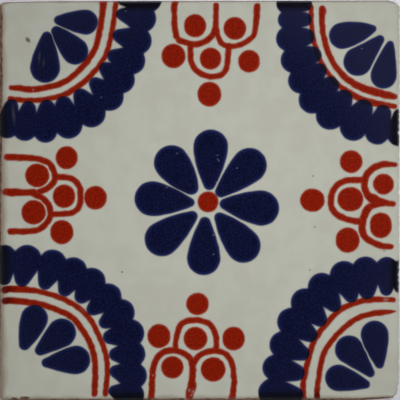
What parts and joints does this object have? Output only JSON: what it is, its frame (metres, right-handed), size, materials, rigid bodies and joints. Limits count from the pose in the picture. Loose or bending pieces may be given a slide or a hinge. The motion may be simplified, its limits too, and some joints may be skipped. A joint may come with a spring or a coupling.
{
  "type": "talavera tile",
  "caption": "Square hand-painted talavera wall tile of fired clay, with a glazed cushion-edged face and a grooved unglazed back for mortar.",
  "frame": {"origin": "middle of the back, on the surface the tile lies on", "axes": "+Z out of the glazed face, +X towards the right side and +Y towards the top side of the face as pictured; the grooves of the back run along X"},
  "size_m": [0.105, 0.105, 0.007],
  "materials": {
    "glazed_clay": "opaque off-white tin glaze, painted in cobalt blue and iron red, over bare terracotta on the sides and back"
  },
  "bodies": {
    "root": {"tile": "glazed_clay"}
  },
  "joints": []
}
